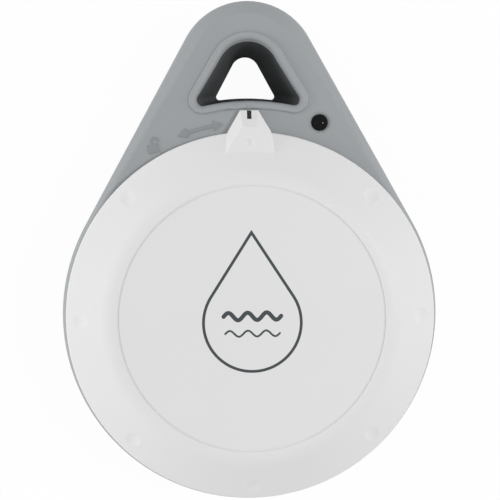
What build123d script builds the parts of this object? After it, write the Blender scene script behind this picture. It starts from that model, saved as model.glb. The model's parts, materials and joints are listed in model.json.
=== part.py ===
from build123d import *
from math import asin, atan, cos, hypot, radians, sin, sqrt, tan
import os

# A water leak sensor that lies flat on a floor or hangs by the hole in its nose.
# Lengths are in millimetres. While it is modelled, Z is the axis that the round
# cover twists about, +Z faces the viewer and the nose points to +Y.

# Battery cells, size AAA, with the room that they need between the contacts
cell_radius = 5.25
cell_length = 44.5
cell_nub_length = 1.0
cell_nub_radius = 1.9
cell_chamfer = 0.6
cell_gap = 0.7
cell_foil_gap = 0.1
spring_length = 3.0
plate_thickness = 0.4
cell_half_spacing = cell_radius + cell_gap / 2
tray_half_length = (cell_length + spring_length) / 2 + plate_thickness

# Round opening over the cells, and the cover's skirt that turns in it
moving_gap = 0.3
skirt_wall = 1.8
skirt_spare = 1.0
skirt_inner_radius = hypot(cell_half_spacing, tray_half_length) + skirt_spare
skirt_radius = skirt_inner_radius + skirt_wall
opening_radius = skirt_radius + moving_gap

# Case outline: a large circle round the twist axis and a small one at the nose
rim_land = 11.1
case_radius = opening_radius + rim_land
hole_step = 5.25
hole_front_base = case_radius + hole_step
hole_front_height = 18.25
nose_radius = 14.5
nose_lead = 6.0
nose_reach = hole_front_base + nose_lead
wall = 2.0
case_edge_round = 1.6
parting_chamfer = 0.25

# Heights, counted from the floor that the three sensing pins stand on
pin_stand = 1.2
rear_depth = 8.8
front_depth = 9.0
rear_floor = 2.0
front_deck = 2.2
back_z = pin_stand
floor_z = back_z + rear_floor
parting_z = back_z + rear_depth
face_z = parting_z + front_depth
deck_z = face_z - front_deck

# Soft bevel round the front face, wider round the nose
bevel_width = 0.95
bevel_nose_width = 2.8
bevel_drop = 1.9
bevel_inner_round = 0.9
bevel_outer_round = 1.8

# Hang hole: a rounded triangle that narrows from the front to the back
hole_front_half_angle = 31.0
hole_front_apex = hole_front_base + hole_front_height
hole_front_top_round = 6.4
hole_front_corner = 1.25
hole_back_half_angle = 28.4
hole_back_step = 1.9
hole_back_height = 12.35
hole_back_base = hole_front_base + hole_back_step
hole_back_apex = hole_back_base + hole_back_height
hole_back_top_round = 3.1
hole_back_corner = 0.7
hole_least_corner = 0.7
sleeve_wall = 1.2
sleeve_gap = 0.15
guard_wall = 1.0
guard_height = 2.0
back_mouth_flare = 0.8

# Raised lip that rolls into the hole, with the alignment mark of the cover
lip_width = 1.7
lip_height = 0.55
lip_round = 0.45
mouth_round = 1.2
mark_width = 1.1
mark_length = 1.2
mark_depth = 0.15

# Bayonet: a ledge round the opening, open where the lugs pass
ledge_depth = 2.1
collar_radius = opening_radius + ledge_depth
collar_wall = 1.6
collar_height = 4.8
collar_low_z = deck_z - collar_height
ledge_height = 1.8
bayonet_count = 3
lug_span = 22.0
lug_spare = 5.0
lug_height = 1.5
lug_middle = 210.0
twist_travel = 30.0
stop_span = 4.0
stop_spare = 1.5
stop_depth = 1.4
ledge_low_z = face_z - ledge_height

# Cover
cover_set_in = 1.1
cover_slope_width = 8.8
cover_radius = case_radius - cover_set_in
cover_rim = 1.2
cover_rim_round = 0.5
cover_rise = 5.4
cover_flat_radius = cover_radius - cover_slope_width
cover_edge_round = 6.0
cover_wall = 1.8
cover_foot = 1.9
lug_gap = 0.3
rim_low_z = face_z + moving_gap
rim_top_z = rim_low_z + cover_rim
cover_top_z = face_z + cover_rise
lug_top_z = ledge_low_z - lug_gap
lug_low_z = lug_top_z - lug_height
lug_radius = collar_radius - moving_gap

# Fine groove round the printed field of the cover, which lies a little sunken
groove_set_in = 2.15
groove_radius = cover_flat_radius - groove_set_in
groove_width = 0.35
groove_depth = 0.15
field_sink = 0.05

# Pointer of the cover: a platform that widens to its root, with flanks and a sloping tip
pointer_root = 5.0
pointer_stand_out = 0.8
pointer_lip_gap = 0.35
pointer_start = cover_radius - pointer_root
pointer_shoulder = cover_radius + pointer_stand_out
pointer_reach = hole_front_base - lip_width - pointer_lip_gap
pointer_rise = 3.35
pointer_tip_rise = 1.3
pointer_start_half = 5.35
pointer_shoulder_half = 1.4
pointer_foot_half = 5.5
pointer_edge_half = 4.4
pointer_tip_half = 1.85
index_width = 0.9
index_length = 2.1
index_depth = 0.2

# Shallow round dimples in the slope of the cover, and a small one on the pointer
dimple_count = 8
dimple_set_in = 3.1
dimple_radius = 1.65
dimple_depth = 0.2
pointer_dimple_set_in = 2.25
pointer_dimple_radius = 0.75
pointer_dimple_depth = 0.2

# Seals
seal_land = 2.0
seal_radius = collar_radius + seal_land
seal_width = 1.6
seal_height = 1.3
seal_chamfer = 0.4
seal_groove_depth = 1.0
seal_groove_gap = 0.1
press_rib_gap = 0.3
gasket_inset = 0.65
gasket_width = 0.7
gasket_height = 0.8

# Circuit board
board_lift = 1.4
board_thickness = 1.2
board_set_in = 7.5
board_tab_gap = 1.1
board_hole_gap = 1.75
board_radius = case_radius - wall - board_set_in
board_tab_top = hole_front_base - board_hole_gap
board_corner = 1.5
board_z = floor_z + board_lift
board_top_z = board_z + board_thickness

# Sensing pins: a domed head under the floor and a shank up to the board
pin_set_in = 3.5
pin_ring_radius = board_radius - pin_set_in
pin_angles = {"nose": 90.0, "left": 225.0, "right": 315.0}
pin_head_radius = 2.7
pin_head_height = 1.7
pin_head_round = 0.7
pin_shank_radius = 1.2
pin_over_board = 0.6
pin_boss_radius = 3.4
pin_recess_gap = 0.3
pin_recess_depth = 1.1
pin_seal_chamfer = 0.15
fit_gap = 0.05

# Screws that close the case from behind
case_screw_land = 3.4
case_screw_low_radius = collar_radius + case_screw_land
case_screw_low_angles = (210.0, 330.0)
case_screw_wall_gap = 3.0
case_screw_set_back = 7.5
case_screw_high_y = case_radius - case_screw_set_back
case_screw_head = 2.5
case_screw_head_height = 2.0
case_screw_shank = 1.0
case_screw_length = 9.0
case_screw_bore_depth = 3.0
case_post_radius = 3.3
case_post_height = 3.0
case_boss_radius = 2.6
case_boss_bore_depth = 9.6
screw_head_gap = 0.2
screw_head_chamfer = 0.35
cross_length = 2.6
cross_width = 0.6
cross_depth = 0.8

# Screws inside the case
board_screw_left = 13.8
board_screw_right = 5.2
board_screw_set_in = 4.3
board_screw_y = board_tab_top - board_screw_set_in
board_screw_places = ((-board_screw_left, board_screw_y), (board_screw_right, board_screw_y))
small_screw_head = 1.8
small_screw_head_height = 1.1
small_screw_shank = 0.85
small_screw_spare = 0.5
small_post_radius = 2.3
small_cross_length = 1.9
small_cross_width = 0.45
small_cross_depth = 0.5

# Battery tray
tray_lift = 1.4
tray_floor = 1.0
tray_wall = 1.2
tray_side_height = 4.6
tray_end_height = 6.4
tray_rib = 0.5
tray_corner = 1.2
tray_foot_radius = 1.6
tray_foot_inset = 3.0
tray_ear_reach = 3.2
tray_ear_radius = 2.6
tray_low_z = board_top_z + tray_lift
tray_floor_z = tray_low_z + tray_floor
cell_z = tray_floor_z + cell_foil_gap + cell_radius

# Battery contacts
spring_half_height = 2.7
spring_thickness = 0.3
spring_half_width = 2.0
spring_cell_gap = 0.05
plate_half_width = 4.2
plate_height = 6.3
plate_corner = 0.8
plate_leg_half = 1.1
plate_slot_gap = 0.15

# Status light and its lens
lens_x = 14.5
lens_step = 0.7
lens_y = case_radius + lens_step
lens_radius = 1.65
lens_dome = 0.6
lens_dimple_radius = 2.25
lens_dimple_depth = 0.3
lens_flange_radius = 2.5
lens_flange_height = 1.0
lens_tail = 8.2
led_side = 2.8
led_height = 1.3
led_window_radius = 1.1
led_window_rise = 0.2

# Pairing switch and its button
switch_set_in = 11.1
switch_x = board_radius - switch_set_in
switch_y = -9.0
switch_side = 6.0
switch_height = 3.5
switch_corner = 0.5
switch_bore_radius = 1.8
switch_bore_depth = 1.9
button_stem_gap = 0.07
button_stem_low = 0.9
button_cap_radius = 2.7
button_cap_lift = 0.9
button_cap_height = 2.2
button_cap_chamfer = 0.5

# Chips and other parts on the board
chip_set_in = 10.9
chip_x = board_radius - chip_set_in
chip_y = 8.6
chip_side = 7.0
chip_height = 1.0
chip_chamfer = 0.25
chip_leg_count = 8
chip_leg_spacing = 0.8
chip_leg_width = 0.35
chip_leg_reach = 1.0
chip_leg_height = 0.5
crystal_set_in = 11.1
crystal_x = crystal_set_in - board_radius
crystal_y = 8.0
crystal_length = 9.0
crystal_width = 4.2
crystal_height = 2.4
crystal_base_height = 0.5
crystal_base_grow = 0.4
crystal_chamfer = 0.5
capacitor_set_in = 10.5
capacitor_x = capacitor_set_in - board_radius
capacitor_y = -7.0
capacitor_radius = 3.0
capacitor_height = 6.0
capacitor_chamfer = 0.4
capacitor_base = 0.8
capacitor_base_side = 6.4
radio_x = -4.5
radio_set_in = 5.6
radio_y = board_tab_top - radio_set_in
radio_width = 11.0
radio_depth = 8.0
radio_board = 0.8
radio_can_inset = 0.5
radio_can_height = 1.8
radio_can_chamfer = 0.4

# Antenna wire round the nose
antenna_wire = 0.45
antenna_wall_gap = 1.75
antenna_inset = wall + antenna_wall_gap + antenna_wire
antenna_lift = 2.6
antenna_start_set_in = 1.5
antenna_end_step = 7.5
antenna_start_y = board_tab_top - antenna_start_set_in
antenna_end_y = board_tab_top + antenna_end_step

# How far cuts overrun, how deep joined pieces sink, and a box hung from its top face
overrun = 1.0
sliver = 0.01
hang_down = (Align.CENTER, Align.CENTER, Align.MAX)


def slab(shape, low, high):
    """A flat shape drawn at height zero, made solid between two heights."""
    return extrude(Pos(0, 0, low) * shape, amount=high - low, dir=(0, 0, 1))


def disc(radius, low, high, x=0, y=0):
    """An upright round bar."""
    return Pos(x, y, 0) * slab(Circle(radius), low, high)


def ring(inner, outer, low, high):
    """A round ring about the twist axis."""
    return slab(Circle(outer) - Circle(inner), low, high)


def ring_segment(inner, outer, middle, span, low, high):
    """Part of such a ring, round a middle angle."""
    start = middle - span / 2
    outside = CenterArc((0, 0), outer, start, span)
    inside = CenterArc((0, 0), inner, start, span)
    ends = [Line(outside @ 0, inside @ 0), Line(outside @ 1, inside @ 1)]
    return slab(make_face([outside, inside] + ends), low, high)


def edges_at(solid, height):
    """The edges that lie at one height."""
    return solid.edges().filter_by_position(Axis.Z, height - sliver, height + sliver)


def polar(radius, angle):
    """The place on a circle about the twist axis."""
    return (radius * cos(radians(angle)), radius * sin(radians(angle)))


def teardrop(inset, nose_inset=None):
    """The case outline, drawn in from the outside by an inset, which may differ at the nose."""
    big = case_radius - inset
    small = nose_radius - (inset if nose_inset is None else nose_inset)
    lean = asin((big - small) / nose_reach)
    low = Vector(big * cos(lean), big * sin(lean))
    high = Vector(small * cos(lean), nose_reach + small * sin(lean))
    low_left = Vector(-low.X, low.Y)
    high_left = Vector(-high.X, high.Y)
    return make_face([
        ThreePointArc(low_left, (0, -big), low),
        Line(low, high),
        ThreePointArc(high, (0, nose_reach + small), high_left),
        Line(high_left, low_left),
    ])


def flank_x(inset, y):
    """Half the width of the outline's straight flanks at a place along Y."""
    lean = asin((case_radius - nose_radius) / nose_reach)
    return (case_radius - inset - y * sin(lean)) / cos(lean)


def hole_shape(half_angle, apex, base, top_round, corner, grow):
    """The hang hole's rounded triangle, with its base on a circle about the twist axis."""
    slope = tan(radians(half_angle))
    tip = apex + grow / sin(radians(half_angle))
    reach = base - grow
    square = slope * slope
    root = sqrt((tip * square) ** 2 - (1 + square) * (tip * tip * square - reach * reach))
    corner_y = (tip * square + root) / (1 + square)
    corner_x = (tip - corner_y) * slope
    shape = make_face([
        Line((0, tip), (corner_x, corner_y)),
        ThreePointArc((corner_x, corner_y), (0, reach), (-corner_x, corner_y)),
        Line((-corner_x, corner_y), (0, tip)),
    ])
    shape = fillet(shape.vertices().sort_by(Axis.Y)[-1], top_round + grow)
    return fillet(shape.vertices().sort_by(Axis.Y)[:2], max(corner + grow, hole_least_corner))


def hole_front(grow):
    return hole_shape(hole_front_half_angle, hole_front_apex, hole_front_base, hole_front_top_round,
                      hole_front_corner, grow)


def hole_back(grow):
    return hole_shape(hole_back_half_angle, hole_back_apex, hole_back_base, hole_back_top_round,
                      hole_back_corner, grow)


def hole_funnel(front, back, low, high):
    """A solid that runs from one hole shape at the back to another at the front."""
    return loft([Pos(0, 0, low) * back, Pos(0, 0, high) * front], ruled=True)


def lug_angles():
    return [lug_middle + 360 / bayonet_count * place for place in range(bayonet_count)]


def case_screw_places():
    low = [polar(case_screw_low_radius, angle) for angle in case_screw_low_angles]
    high_x = flank_x(wall + case_screw_wall_gap, case_screw_high_y)
    return low + [(-high_x, case_screw_high_y), (high_x, case_screw_high_y)]


def tray_half_width():
    return cell_half_spacing + cell_radius + cell_foil_gap + tray_wall


def tray_screw_places():
    reach = tray_half_width() + tray_ear_reach
    return [(-reach, 0), (reach, 0)]


def small_posts(places):
    """Posts on the case floor that carry the board, each with a pilot hole."""
    pilot_radius = small_screw_shank + fit_gap
    posts = [disc(small_post_radius, floor_z - sliver, board_z, *place) for place in places]
    pilots = [disc(pilot_radius, floor_z - sliver, board_z + overrun, *place) for place in places]
    return posts, pilots


def rear_housing():
    """Dark rear tray: floor, side wall, screw and board posts, and the sleeve of the hang hole."""
    body = slab(teardrop(0), back_z, parting_z)
    body = fillet(edges_at(body, back_z), case_edge_round)
    body = chamfer(edges_at(body, parting_z), parting_chamfer)
    body -= slab(teardrop(wall), floor_z, parting_z + overrun)
    groove_inner = gasket_inset + gasket_width
    groove = teardrop(gasket_inset - fit_gap) - teardrop(groove_inner + fit_gap)
    body -= slab(groove, parting_z - gasket_height, parting_z + overrun)
    posts, holes = small_posts(board_screw_places + tuple(tray_screw_places()))
    for place in case_screw_places():
        posts.append(disc(case_post_radius, floor_z - sliver, floor_z + case_post_height, *place))
        head = case_screw_head + screw_head_gap
        holes.append(disc(head, 0, back_z + case_screw_bore_depth, *place))
        holes.append(disc(case_screw_shank + screw_head_gap, 0, parting_z, *place))
    for angle in pin_angles.values():
        place = polar(pin_ring_radius, angle)
        posts.append(disc(pin_boss_radius, floor_z - sliver, board_z, *place))
        holes.append(disc(pin_head_radius + pin_recess_gap, 0, back_z + pin_recess_depth, *place))
        holes.append(disc(pin_shank_radius + fit_gap, 0, parting_z, *place))
    posts.append(hole_funnel(hole_front(sleeve_wall), hole_back(sleeve_wall), back_z + rear_floor / 2,
                             deck_z - sleeve_gap))
    body = body + posts
    holes.append(loft([
        Pos(0, 0, back_z - overrun) * hole_back(back_mouth_flare + overrun),
        Pos(0, 0, back_z + back_mouth_flare) * hole_back(0),
        Pos(0, 0, deck_z) * hole_front(0),
    ], ruled=True))
    return body - holes


def front_shell():
    """Outside of the front housing with its soft bevel, still solid."""
    shoulder_z = face_z - bevel_drop
    body = slab(teardrop(0), parting_z, shoulder_z)
    face = teardrop(bevel_width, bevel_nose_width)
    body += loft([Pos(0, 0, shoulder_z) * teardrop(0), Pos(0, 0, face_z) * face], ruled=True)
    body = fillet(edges_at(body, shoulder_z), bevel_outer_round)
    body = fillet(edges_at(body, face_z), bevel_inner_round)
    return chamfer(edges_at(body, parting_z), parting_chamfer)


def lip():
    """Wall round the hang hole whose top stands out and rolls inwards, notched by the alignment mark."""
    top_z = face_z + lip_height
    body = slab(hole_front(lip_width) - hole_front(0), deck_z, top_z)
    body = fillet(body.faces().sort_by(Axis.Z)[-1].outer_wire().edges(), lip_round)
    body = fillet(body.faces().sort_by(Axis.Z)[-1].inner_wires()[0].edges(), mouth_round)
    mark_y = hole_front_base - lip_width + mark_length / 2
    mark = Box(mark_width, mark_length, mark_depth, align=hang_down)
    return body - Pos(0, mark_y, top_z) * mark


def front_housing():
    """Light grey front: deck, bevel, bayonet collar, screw bosses, hole lip and lens hole."""
    body = front_shell() - slab(teardrop(wall), parting_z - overrun, deck_z)
    body -= slab(hole_front(lip_width - sliver), deck_z - overrun, face_z + overrun)
    collar = ring(collar_radius, collar_radius + collar_wall, collar_low_z, deck_z + sliver)
    seat_radius = lens_flange_radius + collar_wall
    lens_seat = disc(seat_radius, deck_z - lens_flange_height, deck_z + sliver, lens_x, lens_y)
    post_top_z = floor_z + case_post_height
    bosses = [disc(case_boss_radius, post_top_z, deck_z + sliver, *place) for place in case_screw_places()]
    guard_inset = sleeve_wall + sleeve_gap
    hole_guard = slab(hole_front(guard_inset + guard_wall), deck_z - guard_height, deck_z + sliver)
    body = body + [lip(), collar, lens_seat, hole_guard] + bosses
    cuts = [disc(opening_radius, collar_low_z, face_z + overrun)]
    cuts.append(disc(collar_radius, collar_low_z - overrun, ledge_low_z))
    for angle in lug_angles():
        middle = angle + twist_travel
        gap = ring_segment(opening_radius - overrun, collar_radius, middle, lug_span + lug_spare,
                           ledge_low_z - overrun, face_z + overrun)
        cuts.append(gap)
    for place in case_screw_places():
        top = post_top_z + case_boss_bore_depth
        cuts.append(disc(case_screw_shank + fit_gap, post_top_z - overrun, top, *place))
    cuts.append(slab(hole_front(guard_inset), deck_z - guard_height - overrun, deck_z))
    cuts.append(slab(hole_front(0), deck_z - overrun, face_z + lip_height + overrun))
    cuts.append(disc(lens_radius + fit_gap, deck_z - overrun, face_z + overrun, lens_x, lens_y))
    cuts.append(disc(lens_flange_radius + fit_gap, collar_low_z, deck_z, lens_x, lens_y))
    dimple = Cone(lens_radius, lens_dimple_radius, lens_dimple_depth, align=hang_down)
    cuts.append(Pos(lens_x, lens_y, face_z) * dimple)
    groove_half = seal_width / 2 + seal_groove_gap
    cuts.append(ring(seal_radius - groove_half, seal_radius + groove_half, face_z - seal_groove_depth,
                     face_z + overrun))
    body = body - cuts
    return body + bayonet_stops()


def bayonet_stops():
    """Blocks under the ledge that end the twist at both sides of each lug."""
    stops = []
    for angle in lug_angles():
        locked = angle - lug_span / 2 - stop_spare - stop_span / 2
        open_end = angle + twist_travel + lug_span / 2 + stop_spare + stop_span / 2
        for middle in (locked, open_end):
            stop = ring_segment(collar_radius - stop_depth, collar_radius + sliver, middle, stop_span,
                                lug_low_z, ledge_low_z + sliver)
            stops.append(stop)
    return stops


def housing_gasket():
    """Flat cord of rubber in the groove between the two housings."""
    shape = teardrop(gasket_inset) - teardrop(gasket_inset + gasket_width)
    return slab(shape, parting_z - gasket_height, parting_z)


def cover_shell():
    """Turned form of the cover: flat top, slope, rim, skirt and the rib that presses the seal."""
    slope = (cover_top_z - rim_top_z) / (cover_radius - cover_flat_radius)
    foot_radius = cover_radius - cover_foot
    foot_top_z = rim_top_z + cover_foot * slope - cover_wall
    ceiling_z = cover_top_z - cover_wall
    ceiling_radius = foot_radius - (ceiling_z - foot_top_z) / slope
    profile = Polyline([
        (0, cover_top_z),
        (cover_flat_radius, cover_top_z),
        (cover_radius, rim_top_z),
        (cover_radius, rim_low_z),
        (foot_radius, rim_low_z),
        (foot_radius, foot_top_z),
        (max(ceiling_radius, skirt_radius + sliver), ceiling_z),
        (skirt_radius, ceiling_z),
        (skirt_radius, lug_low_z),
        (skirt_inner_radius, lug_low_z),
        (skirt_inner_radius, ceiling_z),
        (0, ceiling_z),
        (0, cover_top_z),
    ])
    body = revolve(Plane.XZ * make_face(profile), Axis.Z)
    body = fillet(edges_at(body, cover_top_z), cover_edge_round)
    body = fillet(edges_at(body, rim_top_z), cover_rim_round)
    rib_half = seal_width / 2
    rib_low_z = face_z + seal_height - seal_groove_depth + press_rib_gap
    rib_top_z = rim_top_z + (cover_radius - seal_radius - rib_half) * slope - sliver
    return body + ring(seal_radius - rib_half, seal_radius + rib_half, rib_low_z, rib_top_z)


def pointer_flank(side):
    """Plane of one flank: through the platform's edge and down to the cover's rim."""
    top_z = face_z + pointer_rise
    shoulder = Vector(side * pointer_shoulder_half, pointer_shoulder, top_z)
    root = Vector(side * pointer_start_half, pointer_start, top_z)
    rim = Vector(side * pointer_edge_half, cover_radius, rim_top_z)
    return Plane(origin=shoulder, z_dir=(root - shoulder).cross(rim - shoulder) * side)


def pointer():
    """Arrow that stands out of the cover's edge and shows its locked place."""
    right = [
        (pointer_tip_half, pointer_reach),
        (pointer_edge_half, cover_radius),
        (pointer_foot_half, pointer_start),
    ]
    left = [(-x, y) for x, y in reversed(right)]
    outline = make_face(Polyline(right + left + right[:1]))
    body = slab(outline, rim_low_z, face_z + pointer_rise)
    tip_slope = atan((pointer_rise - pointer_tip_rise) / (pointer_reach - pointer_shoulder))
    tip_top = (0, pointer_reach, face_z + pointer_tip_rise)
    slope = Plane(origin=tip_top, x_dir=(1, 0, 0), z_dir=(0, sin(tip_slope), cos(tip_slope)))
    for plane in (slope, pointer_flank(-1), pointer_flank(1)):
        body = split(body, bisect_by=plane, keep=Keep.BOTTOM)
    groove = Box(index_width, index_length, index_depth, align=(Align.CENTER, Align.MAX, Align.MAX))
    lift = Box(index_width, index_length, overrun, align=(Align.CENTER, Align.MAX, Align.MIN))
    return body - slope * groove - slope * lift


def dimples():
    """Balls that sink the dimples into the slope, and one that sinks the pointer's."""
    slope = (cover_top_z - rim_top_z) / (cover_radius - cover_flat_radius)
    lean = atan(slope)
    ball = (dimple_radius ** 2 + dimple_depth ** 2) / (2 * dimple_depth)
    lift = ball - dimple_depth
    middle = cover_radius - dimple_set_in
    middle_z = rim_top_z + dimple_set_in * slope
    balls = []
    for place in range(1, dimple_count):
        x, y = polar(middle + lift * sin(lean), 90 + 360 / dimple_count * place)
        balls.append(Pos(x, y, middle_z + lift * cos(lean)) * Sphere(ball))
    small = (pointer_dimple_radius ** 2 + pointer_dimple_depth ** 2) / (2 * pointer_dimple_depth)
    small_z = face_z + pointer_rise + small - pointer_dimple_depth
    balls.append(Pos(0, cover_radius - pointer_dimple_set_in, small_z) * Sphere(small))
    return balls


def twist_cover():
    """White twist-off cover with its pointer, dimples, printed field and bayonet lugs."""
    lugs = [
        ring_segment(skirt_radius - sliver, lug_radius, angle, lug_span, lug_low_z, lug_top_z)
        for angle in lug_angles()
    ]
    body = cover_shell() + [pointer()] + lugs
    groove_half = groove_width / 2
    groove = ring(groove_radius - groove_half, groove_radius + groove_half, cover_top_z - groove_depth,
                  cover_top_z + overrun)
    field = disc(groove_radius, cover_top_z - field_sink, cover_top_z + overrun)
    return body - [groove, field] - dimples()


def cover_seal():
    """Rubber ring in the deck's groove, under the cover."""
    low_z = face_z - seal_groove_depth
    body = ring(seal_radius - seal_width / 2, seal_radius + seal_width / 2, low_z, low_z + seal_height)
    return chamfer(edges_at(body, low_z + seal_height), seal_chamfer)


def circuit_board():
    """Board: a round field under the battery tray and a tab into the neck of the case."""
    tab_half = flank_x(wall, board_tab_top) - board_tab_gap
    tab = Pos(0, board_tab_top / 2) * RectangleRounded(tab_half * 2, board_tab_top, board_corner)
    body = slab(Circle(board_radius) + tab, board_z, board_top_z)
    low = board_z - overrun
    high = board_top_z + overrun
    screw_places = board_screw_places + tuple(tray_screw_places())
    pin_places = [polar(pin_ring_radius, angle) for angle in pin_angles.values()]
    holes = [disc(small_screw_shank + fit_gap, low, high, *place) for place in screw_places]
    holes += [disc(pin_shank_radius + fit_gap, low, high, *place) for place in pin_places]
    return body - holes


def sensing_pin(angle):
    """Stainless pin: domed head that touches the floor, shank up through the board."""
    head = disc(pin_head_radius, 0, pin_head_height)
    head = fillet(edges_at(head, 0), pin_head_round)
    shank = disc(pin_shank_radius, pin_head_height - sliver, board_top_z + pin_over_board)
    x, y = polar(pin_ring_radius, angle)
    return Pos(x, y, 0) * (head + shank)


def pin_seal(angle):
    """Rubber ring between a pin's head and the floor of its recess."""
    top_z = back_z + pin_recess_depth
    body = ring(pin_shank_radius + fit_gap, pin_head_radius, pin_head_height, top_z)
    outer = body.edges().filter_by(GeomType.CIRCLE).sort_by(SortBy.RADIUS)[-2:]
    body = chamfer(outer, pin_seal_chamfer)
    x, y = polar(pin_ring_radius, angle)
    return Pos(x, y, 0) * body


def cross_recess(length, width, depth):
    """Cross for a screwdriver, cut down from height zero."""
    bar = Box(length, width, depth + overrun)
    return Pos(0, 0, (overrun - depth) / 2) * (bar + Rot(0, 0, 90) * bar)


def case_screws():
    """Four screws, heads at the back, in the bosses of the front housing."""
    seat_z = back_z + case_screw_bore_depth
    head = disc(case_screw_head, seat_z - case_screw_head_height, seat_z)
    head = chamfer(edges_at(head, seat_z - case_screw_head_height), screw_head_chamfer)
    cross = Rot(180, 0, 0) * cross_recess(cross_length, cross_width, cross_depth)
    screw = head + disc(case_screw_shank, seat_z - sliver, seat_z + case_screw_length)
    screw = screw - Pos(0, 0, seat_z - case_screw_head_height) * cross
    return Compound([Pos(x, y, 0) * screw.solid() for x, y in case_screw_places()])


def small_screw(seat_z):
    """Screw with its head on a seat and its shank in a post of the case."""
    top_z = seat_z + small_screw_head_height
    head = chamfer(edges_at(disc(small_screw_head, seat_z, top_z), top_z), screw_head_chamfer)
    shank = disc(small_screw_shank, floor_z + small_screw_spare, seat_z + sliver)
    cross = cross_recess(small_cross_length, small_cross_width, small_cross_depth)
    return (head + shank) - Pos(0, 0, top_z) * cross


def board_screws():
    screw = small_screw(board_top_z).solid()
    return Compound([Pos(x, y, 0) * screw for x, y in board_screw_places])


def tray_screws():
    screw = small_screw(tray_floor_z).solid()
    return Compound([Pos(x, y, 0) * screw for x, y in tray_screw_places()])


def battery_tray():
    """Open cradle for two cells, with end walls for the contacts and two screwed ears."""
    half_width = tray_half_width()
    half_length = tray_half_length + tray_wall
    outline = RectangleRounded(half_width * 2, half_length * 2, tray_corner)
    body = slab(outline, tray_low_z, tray_floor_z + tray_end_height)
    inner = Rectangle((half_width - tray_wall) * 2, tray_half_length * 2)
    body -= slab(inner, tray_floor_z, tray_floor_z + tray_end_height + overrun)
    side_cut = Rectangle((half_width + overrun) * 2, (tray_half_length - tray_ear_reach) * 2)
    body -= slab(side_cut, tray_floor_z + tray_side_height, tray_floor_z + tray_end_height + overrun)
    rib_half = tray_rib / 2
    rib_low = tray_floor_z - sliver
    rib = Rectangle(tray_rib, (tray_half_length - tray_ear_reach) * 2)
    body += slab(rib, rib_low, tray_floor_z + cell_half_spacing - cell_radius + rib_half)
    ears = [slab(Pos(x, 0) * Circle(tray_ear_radius), board_top_z, tray_floor_z)
            for x, y in tray_screw_places()]
    arm = Rectangle((half_width + tray_ear_reach) * 2, tray_ear_radius * 2)
    body = body + [slab(arm, tray_low_z, tray_floor_z)] + ears
    foot_x = half_width - tray_foot_inset
    foot_y = half_length - tray_foot_inset
    feet = [disc(tray_foot_radius, board_top_z, tray_floor_z, side * foot_x, end * foot_y)
            for side in (-1, 1) for end in (-1, 1)]
    body = body + feet
    holes = [disc(small_screw_shank + fit_gap, board_top_z - overrun, tray_floor_z + overrun, *place)
             for place in tray_screw_places()]
    slot_half = plate_leg_half + plate_slot_gap
    slot = Rectangle(slot_half * 2, plate_thickness + plate_slot_gap)
    slot_y = tray_half_length - (plate_thickness + plate_slot_gap) / 2
    for side in (-1, 1):
        cut = slab(slot, board_top_z - overrun, tray_floor_z + overrun)
        holes.append(Pos(side * cell_half_spacing, slot_y, 0) * cut)
    return body - holes


def battery():
    """One AAA cell along Y with its positive nub at +Y, resting on the tray."""
    nub_end = tray_half_length - plate_thickness
    can_end = nub_end - cell_nub_length
    can = Pos(0, can_end, 0) * Rot(90, 0, 0) * slab(Circle(cell_radius), 0, cell_length - cell_nub_length)
    can = chamfer(can.edges().filter_by(GeomType.CIRCLE), cell_chamfer)
    nub = Pos(0, nub_end, 0) * Rot(90, 0, 0) * slab(Circle(cell_nub_radius), 0, cell_nub_length + sliver)
    return Pos(-cell_half_spacing, 0, cell_z) * (can + nub)


def contact_plate(half_width, middle_x):
    """Sheet metal plate against the tray's +Y end wall."""
    low_z = tray_floor_z
    shape = RectangleRounded(half_width * 2, plate_height, plate_corner)
    plate = Rot(90, 0, 0) * slab(shape, 0, plate_thickness)
    return Pos(middle_x, tray_half_length, low_z + plate_height / 2) * plate


def terminal_plate():
    """Plate of one cell with a leg through the tray's slot to the board."""
    plate = contact_plate(plate_half_width, -cell_half_spacing)
    leg_shape = Pos(-cell_half_spacing, tray_half_length - plate_thickness / 2)
    leg_shape = leg_shape * Rectangle(plate_leg_half * 2, plate_thickness)
    return plate + slab(leg_shape, board_top_z, tray_floor_z + plate_corner * 2)


def bridge_plate():
    """Wide plate at the -Y end that joins the two cells."""
    wide = contact_plate(cell_half_spacing + plate_half_width, 0)
    return Rot(0, 0, 180) * wide


def contact_spring():
    """Bowed leaf spring between the bridge plate and the -Y end of the left cell."""
    reach = spring_length - spring_cell_gap
    outer = spring_half_height
    inner = spring_half_height - spring_thickness
    bow = ThreePointArc((0, -outer), (reach, 0), (0, outer))
    hollow = ThreePointArc((0, -inner), (reach - spring_thickness, 0), (0, inner))
    strip = make_face([bow, hollow, Line(bow @ 0, hollow @ 0), Line(bow @ 1, hollow @ 1)])
    leaf = extrude(Plane.YZ * strip, amount=spring_half_width, both=True)
    return Pos(-cell_half_spacing, plate_thickness - tray_half_length, cell_z) * leaf


def led_lens():
    """Smoked light pipe: domed end in the deck, flange under it, tail down to the light."""
    dome_radius = (lens_radius ** 2 + lens_dome ** 2) / (2 * lens_dome)
    tail_low = deck_z - lens_tail
    bar = disc(lens_radius, tail_low, face_z + lens_dome)
    dome = Pos(0, 0, face_z + lens_dome - dome_radius) * Sphere(dome_radius)
    below = disc(lens_flange_radius, tail_low - overrun, face_z)
    body = (bar & (dome + below)) + disc(lens_flange_radius, deck_z - lens_flange_height, deck_z)
    return Pos(lens_x, lens_y, 0) * body


def status_led():
    """Surface-mounted light with a round window."""
    top_z = board_top_z + led_height
    body = slab(Rectangle(led_side, led_side), board_top_z, top_z)
    body += disc(led_window_radius, top_z - sliver, top_z + led_window_rise)
    return Pos(lens_x, lens_y, 0) * body


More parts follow.
